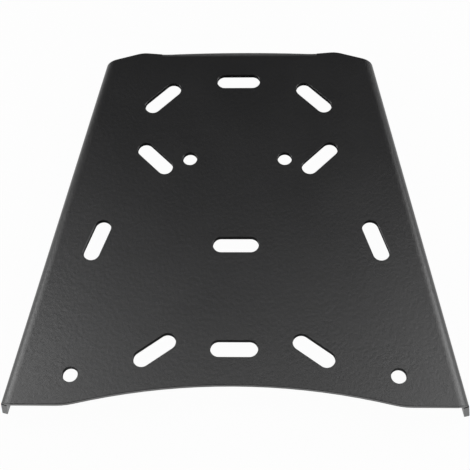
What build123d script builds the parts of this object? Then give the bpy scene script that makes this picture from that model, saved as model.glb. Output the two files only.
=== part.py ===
from build123d import *
import math
import os

# Luggage rack extension plate, millimetres, +Z up.
# One 3 mm sheet: a tapered top panel, both long sides folded down into flanges,
# a short lip turned down at the narrow rear edge, and slots and bolt holes cut through.
# It stands on the lower edges of its flanges. The origin is on that level, midway
# along its length and width. X runs across the plate and Y runs to the narrow rear end.

# Sheet and folds, the rounding of the cut outer edges and the bevel of the openings' rims
sheet = 3.0
inner_bend_radius = 3.0
side_fold_angle = 80.0
lip_fold_angle = 40.0
edge_round = 0.3
rim_bevel = 0.25

# Top panel, from the front edge to the start of the lip's fold, and between the side folds
panel_length = 213.6
front_panel_width = 228.0
taper_angle = 11.0
flange_height = 21.0

# Front edge: a wide hollow arc between two short straight ends
front_arc_radius = 350.0
front_arc_depth = 10.8
front_arc_blend = 40.0

# Rear edge: a crowned lip between two low ears, with the corners cut off at an angle
corner_cut_angle = 16.6
ear_inset = 15.3
ear_reach = 4.1
ear_radius = 16.0
lip_end_from_ear = 11.2
lip_reach = 5.75
valley_from_ear = 15.7
valley_reach = 2.65
valley_radius = 30.0

# Narrow notch across the front end of each side fold
notch_angle = 66.0
notch_width = 1.6
notch_depth = 0.9

# Slots, all cut with rounded ends to one size, and bolt holes
slot_length = 25.0
slot_width = 9.0
bolt_hole_diameter = 8.0

# Rows measured back from the front edge
front_hole_row = 16.0
front_slot_row = 30.5
front_angled_slot_row = 29.5
middle_slot_row = 90.6
side_slot_row = 93.3

# Rows measured forward from the start of the lip's fold
rear_hole_row = 69.0
rear_slot_row = 16.6
rear_angled_slot_row = 28.0
upper_angled_slot_row = 68.7

# Places across the plate, and slot angles for the right one of each mirrored pair
front_hole_spacing = 169.0
rear_hole_spacing = 53.5
front_angled_slot_x = 41.4
front_slot_angle = -36.0
side_slot_from_fold = 20.0
side_slot_angle = -71.0
upper_slot_from_hole = 19.75
upper_slot_angle = 45.0
rear_angled_slot_x = 43.8
rear_slot_angle = -45.0

# Sizes that follow from those above
outer_bend_radius = inner_bend_radius + sheet
neutral_radius = inner_bend_radius + sheet / 2
taper = math.radians(taper_angle)
corner_cut = math.radians(corner_cut_angle)
side_fold = math.radians(side_fold_angle)
lip_fold = math.radians(lip_fold_angle)
front_corner_x = front_panel_width / 2
cutter_reach = 2 * (outer_bend_radius + flange_height)


def fold_start_x(y):
    """Half width of the flat panel at a distance behind the front edge."""
    return front_corner_x - y * math.tan(taper)


# Peak of the right ear before it is rounded, and the corner where the cut meets the side fold
ear_x = fold_start_x(panel_length) - ear_inset
ear_y = panel_length + ear_reach
corner_drop = (front_corner_x - ear_x) * math.tan(corner_cut)
rear_corner_y = (ear_y - corner_drop) / (1 - math.tan(corner_cut) * math.tan(taper))
rear_corner_x = fold_start_x(rear_corner_y)
lip_half_width = ear_x - lip_end_from_ear


def rounding_loss(turn):
    """How far rounding draws in the tip of a square edge that is turned through an angle."""
    return edge_round * (math.sin(turn) + abs(math.cos(turn)) - 1)


def round_corners(outline, x, y, radius):
    """Round the outline's corner at a point and the one opposite it."""
    corners = [outline.vertices().sort_by_distance((side * x, y))[0] for side in (-1, 1)]
    return fillet(corners, radius)


def sheet_outline():
    """The sheet as cut, between the starts of the two side folds."""
    valley_x = ear_x - valley_from_ear
    valley_y = panel_length + valley_reach
    right = [
        (front_corner_x, 0),
        (rear_corner_x, rear_corner_y),
        (ear_x, ear_y),
        (valley_x, valley_y),
    ]
    left = [(-x, y) for x, y in reversed(right)]
    edges = [Line(a, b) for a, b in zip(right, right[1:])]
    edges += [ThreePointArc(right[-1], (0, panel_length + lip_reach), left[0])]
    edges += [Line(a, b) for a, b in zip(left, left[1:])]
    edges += [Line(left[-1], right[0])]
    hollow_center_y = front_arc_depth - front_arc_radius
    hollow_end_x = math.sqrt(front_arc_radius**2 - hollow_center_y**2)
    outline = make_face(edges) - Pos(0, hollow_center_y) * Circle(front_arc_radius)
    outline = round_corners(outline, valley_x, valley_y, valley_radius)
    outline = round_corners(outline, ear_x, ear_y, ear_radius)
    return round_corners(outline, hollow_end_x, 0, front_arc_blend)


def fold_section(angle, leg):
    """Section of a fold that starts at (0, 0) on the top face and turns down from +X."""

    def on_bend(radius, turned):
        return Vector(0, -outer_bend_radius) + Vector(math.sin(turned), math.cos(turned)) * radius

    straight = Vector(math.cos(angle), -math.sin(angle)) * leg
    outer_end = on_bend(outer_bend_radius, angle)
    inner_end = on_bend(inner_bend_radius, angle)
    edges = [
        ThreePointArc((0, 0), on_bend(outer_bend_radius, angle / 2), outer_end),
        Line(outer_end, outer_end + straight),
        Line(outer_end + straight, inner_end + straight),
        Line(inner_end + straight, inner_end),
        ThreePointArc(inner_end, on_bend(inner_bend_radius, angle / 2), (0, -sheet)),
        Line((0, -sheet), (0, 0)),
    ]
    return make_face(edges)


def side_fold_plane():
    """Plane across the front end of the right fold, with its X axis outward and Y axis up."""
    outward = (math.cos(taper), math.sin(taper), 0)
    toward_front = (math.sin(taper), -math.cos(taper), 0)
    return Plane(origin=(front_corner_x, 0, 0), x_dir=outward, z_dir=toward_front)


def side_flange():
    """Right flange, square to its fold at the front and cut with the corner at the rear."""
    lower_side = min(inner_bend_radius * math.cos(side_fold), outer_bend_radius * math.cos(side_fold))
    bend_drop = outer_bend_radius - lower_side
    leg_drop = flange_height - bend_drop + rounding_loss(side_fold)
    section = fold_section(side_fold, leg_drop / math.sin(side_fold))
    flange = extrude(side_fold_plane() * section, -rear_corner_y / math.cos(taper))
    past_corner = Plane(
        origin=(rear_corner_x, rear_corner_y, 0),
        x_dir=(math.cos(corner_cut), -math.sin(corner_cut), 0),
        z_dir=(0, 0, 1),
    )
    cutter = Pos(cutter_reach / 2, cutter_reach / 2) * Box(cutter_reach, cutter_reach, 2 * cutter_reach)
    return flange - past_corner * cutter


def fold_notch():
    """Notch through the sheet at the front end of the right fold."""
    blade = Pos(0, neutral_radius) * Box(notch_width, 2 * sheet, 2 * notch_depth)
    return side_fold_plane() * Pos(0, -outer_bend_radius) * Rot(0, 0, -notch_angle) * blade


def rear_lip(outline):
    """Middle of the rear edge, turned down and trimmed to the sheet's own outline."""
    start = Plane(origin=(-lip_half_width, panel_length, 0), x_dir=(0, 1, 0), z_dir=(1, 0, 0))
    lip = extrude(start * fold_section(lip_fold, lip_reach), 2 * lip_half_width)
    bend_end_y = panel_length + outer_bend_radius * math.sin(lip_fold)
    bend_end_z = -outer_bend_radius * (1 - math.cos(lip_fold))
    along_lip = Vector(0, math.cos(lip_fold), -math.sin(lip_fold))
    flat_length_to_bend_end = panel_length + neutral_radius * lip_fold
    tilted = Plane(
        origin=Vector(0, bend_end_y, bend_end_z) - along_lip * flat_length_to_bend_end,
        x_dir=(1, 0, 0),
        z_dir=(0, math.sin(lip_fold), math.cos(lip_fold)),
    )
    return lip & extrude(tilted * outline, 2 * outer_bend_radius, both=True)


def slot(x, y, angle):
    return Pos(x, y) * SlotOverall(slot_length, slot_width, rotation=angle)


def slot_pair(x, y, angle):
    return [slot(x, y, angle), slot(-x, y, -angle)]


def bolt_hole_pair(spacing, y):
    return [Pos(x, y) * Circle(bolt_hole_diameter / 2) for x in (-spacing / 2, spacing / 2)]


def all_holes():
    holes = [slot(0, y, 0) for y in (front_slot_row, middle_slot_row, panel_length - rear_slot_row)]
    holes += slot_pair(front_angled_slot_x, front_angled_slot_row, front_slot_angle)
    holes += slot_pair(fold_start_x(side_slot_row) - side_slot_from_fold, side_slot_row, side_slot_angle)
    upper_slot_x = rear_hole_spacing / 2 + upper_slot_from_hole
    holes += slot_pair(upper_slot_x, panel_length - upper_angled_slot_row, upper_slot_angle)
    holes += slot_pair(rear_angled_slot_x, panel_length - rear_angled_slot_row, rear_slot_angle)
    holes += bolt_hole_pair(front_hole_spacing, front_hole_row)
    holes += bolt_hole_pair(rear_hole_spacing, panel_length - rear_hole_row)
    return holes


def outer_rims(plate):
    """Edges where the cut outline meets a face of the sheet.

    Left out are the smooth joins of bends and flats, the edges that run straight through
    the thickness, and the sheared ends of the lip.
    """
    smooth_limit = 5
    tolerance = sheet / 100
    neighbours = {}
    for face in plate.faces():
        for edge in face.edges():
            neighbours.setdefault(edge, []).append(face)
    rims = []
    for edge, faces in neighbours.items():
        middle = edge @ 0.5
        normals = [face.normal_at(middle) for face in faces]
        smooth = len(faces) < 2 or normals[0].get_angle(normals[1]) < smooth_limit
        through = edge.geom_type == GeomType.LINE and abs(edge.length - sheet) < tolerance
        sheared = abs(abs(middle.X) - lip_half_width) < tolerance
        if not (smooth or through or sheared):
            rims.append(edge)
    return rims


def opening_rims(plate):
    """Edges of every slot and hole, on the top face and the underside."""
    flats = plate.faces().filter_by(Axis.Z).sort_by(SortBy.AREA)[-2:]
    return [edge for flat in flats for wire in flat.inner_wires() for edge in wire.edges()]


def rack_plate():
    outline = sheet_outline()
    lip_zone = Pos(0, panel_length + cutter_reach / 2) * Rectangle(2 * lip_half_width, cutter_reach)
    panel = extrude(outline - lip_zone, -sheet)
    flange = side_flange()
    plate = panel + flange + mirror(flange, about=Plane.YZ) + rear_lip(outline)
    plate = fillet(outer_rims(plate), edge_round)
    plate = plate - extrude(Sketch() + all_holes(), -sheet)
    plate = chamfer(opening_rims(plate), rim_bevel)
    notch = fold_notch()
    plate = plate - notch - mirror(notch, about=Plane.YZ)
    lip_leg = lip_reach - neutral_radius * lip_fold
    lip_tip_y = panel_length + outer_bend_radius * math.sin(lip_fold) + lip_leg * math.cos(lip_fold)
    overall_length = lip_tip_y - rounding_loss(lip_fold)
    return Pos(0, -overall_length / 2, flange_height) * plate


os.makedirs("parts", exist_ok=True)
export_step(rack_plate(), "parts/rack_plate.step")
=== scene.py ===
"""Finishes a folded rack plate in satin black powder coat and sets it on a pale studio floor.

Lengths are metres in the plate's own frame: X across it, Y to its narrow rear end, Z up.
"""

import math

import bpy
from bpy.props import FloatProperty, FloatVectorProperty, PointerProperty
from mathutils import Matrix, Vector


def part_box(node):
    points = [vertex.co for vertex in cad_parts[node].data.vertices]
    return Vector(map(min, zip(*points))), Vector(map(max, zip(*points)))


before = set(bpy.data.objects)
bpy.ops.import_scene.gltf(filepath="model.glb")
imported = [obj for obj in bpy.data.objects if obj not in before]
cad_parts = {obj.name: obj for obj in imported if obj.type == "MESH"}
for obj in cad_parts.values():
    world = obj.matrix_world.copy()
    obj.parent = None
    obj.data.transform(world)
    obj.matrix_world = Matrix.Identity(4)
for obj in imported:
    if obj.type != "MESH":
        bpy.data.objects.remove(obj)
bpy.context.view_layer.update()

bl_info = {
    "name": "Folded Rack Plate",
    "version": (1, 0, 0),
    "blender": (4, 5, 0),
    "location": "View3D > Sidebar > Rack Plate",
    "description": "Powder-coats a folded sheet plate and lights it for a studio view",
    "category": "Object",
}

PLATE = "rack_plate"
PLATE_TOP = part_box(PLATE)[1].z
PLATE_MIDDLE = (0.0, 0.0, PLATE_TOP)
WHITE = (1.0, 1.0, 1.0, 1.0)

# Layers of finer noise in the coat's clouds, ripples and grain, and the middle of any noise
CLOUD_DETAIL = 3.0
PEEL_DETAIL = 2.0
GRAIN_DETAIL = 1.0
NOISE_MIDDLE = 0.5

# Lamps in mirrored pairs: name, place of the right one, width, height,
# and the watts of the left one and the right one
SOFTBOXES = (
    ("side_strip", (0.53, 0.09, 0.24), 0.25, 0.36, 0.52, 0.36),
    ("side_panel", (0.50, 0.09, 0.30), 0.25, 0.25, 0.74, 0.68),
    ("raised_side", (0.34, 0.06, 0.49), 0.25, 0.25, 0.86, 0.90),
    ("low_side", (1.08, 0.12, 0.155), 0.40, 0.30, 0.70, 0.95),
    ("overhead", (0.22, 0.05, 1.08), 0.40, 0.40, 1.06, 1.25),
    ("rear_side", (0.82, 0.47, 0.54), 0.40, 0.40, 0.24, 1.38),
    ("rear_strip", (0.18, 1.10, 0.22), 0.40, 0.35, 0.13, 0.13),
)


class CoatSettings(bpy.types.PropertyGroup):
    """The powder coat on the folded sheet."""

    thick_color: FloatVectorProperty(
        name="Thick Coat",
        description="Colour where the coat has flowed thick",
        subtype="COLOR",
        min=0.0,
        max=1.0,
        default=(0.0070, 0.0070, 0.0071),
    )
    thin_color: FloatVectorProperty(
        name="Thin Coat",
        description="Colour where the coat is a little thinner and looks greyer",
        subtype="COLOR",
        min=0.0,
        max=1.0,
        default=(0.0092, 0.0092, 0.0093),
    )
    roughness: FloatProperty(
        name="Roughness",
        description="Satin roughness of the cured coat",
        subtype="FACTOR",
        min=0.0,
        max=1.0,
        default=0.37,
    )
    gloss: FloatProperty(
        name="Refractive Index",
        description="Refractive index of the coat, which sets how strongly it mirrors",
        min=1.0,
        default=1.58,
    )
    cloud_width: FloatProperty(
        name="Cloud Width",
        description="Width of the soft patches left by the spray gun's passes",
        unit="LENGTH",
        default=0.030,
    )
    peel_width: FloatProperty(
        name="Peel Width",
        description="Width of the low ripples of the melted coat",
        unit="LENGTH",
        default=0.0018,
    )
    peel_height: FloatProperty(
        name="Peel Height",
        description="Height of the low ripples of the melted coat",
        unit="LENGTH",
        default=0.00013,
    )
    grain_width: FloatProperty(
        name="Grain Width",
        description="Width of the fine grain of the matting powder",
        unit="LENGTH",
        default=0.00035,
    )
    peel_share: FloatProperty(
        name="Peel Share",
        description="Share of the relief that is ripples, the rest being grain",
        subtype="FACTOR",
        min=0.0,
        max=1.0,
        default=0.7,
    )
    cloud_roughness: FloatProperty(
        name="Cloud Roughness",
        description="How much the roughness changes from one cloud to another",
        min=0.0,
        default=0.06,
    )
    grain_roughness: FloatProperty(
        name="Grain Roughness",
        description="How much the roughness changes from one grain to another",
        min=0.0,
        default=0.08,
    )


class StudioSettings(bpy.types.PropertyGroup):
    """Floor, lamps and camera."""

    floor_width: FloatProperty(
        name="Floor Width",
        description="Side of the square floor",
        unit="LENGTH",
        default=8.0,
    )
    floor_color: FloatVectorProperty(
        name="Floor Colour",
        description="Colour of the painted floor",
        subtype="COLOR",
        min=0.0,
        max=1.0,
        default=(0.35, 0.35, 0.35),
    )
    white_share: FloatProperty(
        name="White Share",
        description="How much of the floor is plain white where it is seen or mirrored",
        subtype="FACTOR",
        min=0.0,
        max=1.0,
        default=0.975,
    )
    # Painted shadow: a zone of floor under and behind the plate that looks white to the camera but
    # grey paint to mirrored rays; these three settings give its size, taper and soft edge.
    painted_shadow_zone: FloatVectorProperty(
        name="Shadow Zone",
        description="Shaded floor: half width at the middle, front end and rear end",
        subtype="XYZ",
        unit="LENGTH",
        default=(0.095, -0.100, 0.350),
    )
    zone_taper: FloatProperty(
        name="Zone Taper",
        description="Angle at which each side of the shaded floor runs in towards the rear",
        subtype="ANGLE",
        default=math.radians(11.0),
    )
    zone_fade: FloatProperty(
        name="Zone Fade",
        description="Width over which the shaded floor turns white",
        unit="LENGTH",
        default=0.006,
    )
    wall_light: FloatProperty(
        name="Wall Light",
        description="Brightness of the room's pale walls, low all round",
        default=0.5,
    )
    ceiling_light: FloatVectorProperty(
        name="Ceiling Light",
        description="Colour of the room's dark ceiling",
        subtype="COLOR",
        min=0.0,
        default=(0.007, 0.007, 0.012),
    )
    wall_top: FloatProperty(
        name="Wall Top",
        description="Height angle at which the walls have given way to the ceiling",
        subtype="ANGLE",
        default=math.radians(32.0),
    )
    camera_place: FloatVectorProperty(
        name="Camera Place",
        description="Where the camera stands",
        subtype="TRANSLATION",
        unit="LENGTH",
        default=(0.02024, -0.28336, 0.56219),
    )
    camera_aim: FloatVectorProperty(
        name="Camera Aim",
        description="Point on the plate's top at the middle of the picture",
        subtype="TRANSLATION",
        unit="LENGTH",
        default=(-0.00055, -0.01330, PLATE_TOP),
    )
    camera_roll: FloatProperty(
        name="Camera Roll",
        description="Turn of the camera about its own line of sight",
        subtype="ANGLE",
        default=math.radians(-3.905),
    )
    lens: FloatProperty(
        name="Lens",
        description="Focal length for a picture 36 mm wide",
        unit="CAMERA",
        default=85.0,
    )


class Number:
    """A number socket on which Python's operators add the shader's Math nodes."""

    def __init__(self, shader, socket):
        self.shader = shader
        self.socket = socket

    def combine(self, operation, first, second):
        node = self.shader.node("ShaderNodeMath", {"operation": operation}, {0: first, 1: second})
        return Number(self.shader, node.outputs["Value"])

    def __add__(self, other):
        return self.combine("ADD", self, other)

    def __radd__(self, other):
        return self.combine("ADD", other, self)

    def __sub__(self, other):
        return self.combine("SUBTRACT", self, other)

    def __rsub__(self, other):
        return self.combine("SUBTRACT", other, self)

    def __mul__(self, other):
        return self.combine("MULTIPLY", self, other)

    def __rmul__(self, other):
        return self.combine("MULTIPLY", other, self)

    def __abs__(self):
        return self.combine("ABSOLUTE", self, 0.0)

    def or_more(self, other):
        """The larger of the two."""
        return self.combine("MAXIMUM", self, other)

    def eased(self, low, high):
        """0 below the low value, 1 above the high one, and a smooth step between them."""
        settings = {"interpolation_type": "SMOOTHSTEP"}
        inputs = {"Value": self, "From Min": low, "From Max": high}
        return self.shader.number("ShaderNodeMapRange", "Result", settings, inputs)


class Shader:
    """A node tree that is emptied and built again, with one method that makes every node."""

    def __init__(self, owner):
        owner.use_nodes = True
        self.tree = owner.node_tree
        self.tree.nodes.clear()

    def node(self, kind, settings=None, inputs=None):
        """Add a node, apply its settings, then fill its sockets with values or links."""
        node = self.tree.nodes.new(kind)
        for name, value in (settings or {}).items():
            setattr(node, name, value)
        for name, value in (inputs or {}).items():
            if isinstance(value, Number):
                value = value.socket
            if isinstance(value, bpy.types.NodeSocket):
                self.tree.links.new(value, node.inputs[name])
            else:
                node.inputs[name].default_value = value
        return node

    def number(self, kind, output, settings=None, inputs=None):
        """A node's number output, ready for arithmetic."""
        return Number(self, self.node(kind, settings, inputs).outputs[output])

    def noise(self, coordinates, width, detail):
        """Soft noise from 0 to 1 whose lumps are about one width across."""
        return self.number(
            "ShaderNodeTexNoise",
            "Fac",
            {"noise_dimensions": "3D"},
            {"Vector": coordinates, "Scale": 1.0 / width, "Detail": detail},
        )


def opaque(color):
    """A colour with the alpha that a colour socket expects."""
    return (*color, 1.0)


def powder_coat(settings):
    """Satin black powder coat: soft clouds of colour, low ripples and a fine grain."""
    material = bpy.data.materials.new("satin_black_powder_coat")
    shader = Shader(material)
    place = shader.node("ShaderNodeTexCoord").outputs["Object"]
    clouds = shader.noise(place, settings.cloud_width, CLOUD_DETAIL)
    peel = shader.noise(place, settings.peel_width, PEEL_DETAIL)
    grain = shader.noise(place, settings.grain_width, GRAIN_DETAIL)
    cloud_change = (clouds - NOISE_MIDDLE) * settings.cloud_roughness
    grain_change = (grain - NOISE_MIDDLE) * settings.grain_roughness

    color = shader.node(
        "ShaderNodeMix",
        {"data_type": "RGBA"},
        {"Factor": clouds, "A": opaque(settings.thick_color), "B": opaque(settings.thin_color)},
    )
    relief = shader.node(
        "ShaderNodeBump",
        None,
        {
            "Strength": 1.0,
            "Distance": settings.peel_height,
            "Height": peel * settings.peel_share + grain * (1.0 - settings.peel_share),
        },
    )
    coat = shader.node(
        "ShaderNodeBsdfPrincipled",
        None,
        {
            "Base Color": color.outputs["Result"],
            "Roughness": settings.roughness + cloud_change + grain_change,
            "IOR": settings.gloss,
            "Normal": relief.outputs["Normal"],
        },
    )
    shader.node("ShaderNodeOutputMaterial", None, {"Surface": coat.outputs["BSDF"]})
    return material


def floor_paint(settings):
    """Pale floor: white where it is seen, and white where it is mirrored except in a painted
    shadow under and behind the plate, where mirrored rays meet the grey paint in the lamps' light.
    """
    material = bpy.data.materials.new("studio_floor")
    shader = Shader(material)
    rays = shader.node("ShaderNodeLightPath").outputs
    mirrored = Number(shader, rays["Is Glossy Ray"]) + Number(shader, rays["Is Transmission Ray"])
    place = shader.node("ShaderNodeTexCoord").outputs["Object"]
    across, along, _ = shader.node("ShaderNodeSeparateXYZ", None, {"Vector": place}).outputs
    # Painted shadow for reflections: the mask below is 0 in a zone under and behind the plate and
    # 1 outside it, and only outside does the floor mirror as white.
    half_width, front, rear = settings.painted_shadow_zone
    along = Number(shader, along)
    past_side = abs(Number(shader, across)) + along * math.tan(settings.zone_taper) - half_width
    past_end = abs(along - (front + rear) / 2) - (rear - front) / 2
    outside_painted_shadow = past_side.or_more(past_end).eased(0.0, settings.zone_fade)
    paint = shader.node("ShaderNodeBsdfDiffuse", None, {"Color": opaque(settings.floor_color)})
    white = shader.node("ShaderNodeEmission", None, {"Color": WHITE, "Strength": 1.0})
    mix = shader.node(
        "ShaderNodeMixShader",
        None,
        {
            0: (Number(shader, rays["Is Camera Ray"]) + mirrored * outside_painted_shadow) * settings.white_share,
            1: paint.outputs["BSDF"],
            2: white.outputs["Emission"],
        },
    )
    shader.node("ShaderNodeOutputMaterial", None, {"Surface": mix.outputs["Shader"]})
    return material


def room_light(world, settings):
    """Pale walls low all round under a dark ceiling, and white behind the floor for the camera."""
    shader = Shader(world)
    direction = shader.node("ShaderNodeTexCoord").outputs["Generated"]
    height = shader.number("ShaderNodeSeparateXYZ", "Z", None, {"Vector": direction})
    ceiling = height.eased(0.0, math.sin(settings.wall_top))
    room = shader.node(
        "ShaderNodeMix",
        {"data_type": "RGBA"},
        {
            "Factor": ceiling,
            "A": opaque([settings.wall_light] * 3),
            "B": opaque(settings.ceiling_light),
        },
    )
    seen = shader.node("ShaderNodeLightPath").outputs["Is Camera Ray"]
    shown = shader.node(
        "ShaderNodeMix",
        {"data_type": "RGBA"},
        {"Factor": seen, "A": room.outputs["Result"], "B": WHITE},
    )
    light = shader.node("ShaderNodeBackground", None, {"Color": shown.outputs["Result"]})
    shader.node("ShaderNodeOutputWorld", None, {"Surface": light.outputs["Background"]})


def select_nothing():
    bpy.ops.object.select_all(action="DESELECT")


def turn_towards(place, aim, roll=0.0):
    """Rotation that points an object's -Z axis from one place to another."""
    facing = (Vector(aim) - Vector(place)).to_track_quat("-Z", "Y")
    return (facing.to_matrix() @ Matrix.Rotation(roll, 3, "Z")).to_euler()


def add_softbox(name, place, width, height, watts):
    """A rectangular area lamp that faces the plate and doesn't show itself to the camera."""
    rotation = turn_towards(place, PLATE_MIDDLE)
    bpy.ops.object.light_add(type="AREA", location=place, rotation=rotation)
    lamp = bpy.context.object
    lamp.name = name
    lamp.visible_camera = False
    lamp.data.shape = "RECTANGLE"
    lamp.data.size = width
    lamp.data.size_y = height
    lamp.data.energy = watts


class RACKPLATE_OT_coat(bpy.types.Operator):
    """Give the folded sheet its powder coat"""

    bl_idname = "rackplate.coat"
    bl_label = "Powder-Coat Plate"
    bl_options = {"REGISTER", "UNDO"}

    def execute(self, context):
        material = powder_coat(context.scene.rackplate_coat)
        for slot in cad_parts[PLATE].material_slots:
            slot.material = material
        return {"FINISHED"}


class RACKPLATE_OT_studio(bpy.types.Operator):
    """Add the floor, the soft light and the camera"""

    bl_idname = "rackplate.studio"
    bl_label = "Set Studio"
    bl_options = {"REGISTER", "UNDO"}

    def execute(self, context):
        settings = context.scene.rackplate_studio
        select_nothing()
        bpy.ops.mesh.primitive_plane_add(size=settings.floor_width, location=(0.0, 0.0, 0.0))
        floor = context.object
        floor.name = "studio_floor"
        floor.data.materials.append(floor_paint(settings))

        world = bpy.data.worlds.new("studio_room")
        context.scene.world = world
        room_light(world, settings)
        for name, (across, along, up), width, height, left_watts, right_watts in SOFTBOXES:
            add_softbox(f"left_{name}", (-across, along, up), width, height, left_watts)
            add_softbox(f"right_{name}", (across, along, up), width, height, right_watts)

        rotation = turn_towards(settings.camera_place, settings.camera_aim, settings.camera_roll)
        bpy.ops.object.camera_add(location=settings.camera_place, rotation=rotation)
        camera = context.object
        camera.name = "studio_camera"
        camera.data.lens = settings.lens
        context.scene.camera = camera
        context.scene.view_settings.view_transform = "Standard"
        return {"FINISHED"}


class RACKPLATE_PT_panel(bpy.types.Panel):
    """Lists the steps that dress the plate"""

    bl_idname = "RACKPLATE_PT_panel"
    bl_label = "Rack Plate"
    bl_space_type = "VIEW_3D"
    bl_region_type = "UI"
    bl_category = "Rack Plate"

    def draw(self, context):
        coat = context.scene.rackplate_coat
        studio = context.scene.rackplate_studio
        for settings, operator in (
            (coat, RACKPLATE_OT_coat),
            (studio, RACKPLATE_OT_studio),
        ):
            box = self.layout.box()
            for name in settings.__annotations__:
                box.prop(settings, name)
            box.operator(operator.bl_idname)


CLASSES = (
    CoatSettings,
    StudioSettings,
    RACKPLATE_OT_coat,
    RACKPLATE_OT_studio,
    RACKPLATE_PT_panel,
)


def register():
    for cls in CLASSES:
        bpy.utils.register_class(cls)
    bpy.types.Scene.rackplate_coat = PointerProperty(type=CoatSettings)
    bpy.types.Scene.rackplate_studio = PointerProperty(type=StudioSettings)


def unregister():
    del bpy.types.Scene.rackplate_studio
    del bpy.types.Scene.rackplate_coat
    for cls in reversed(CLASSES):
        bpy.utils.unregister_class(cls)


def main():
    register()
    bpy.ops.rackplate.coat()
    bpy.ops.rackplate.studio()


if __name__ == "__main__":
    main()
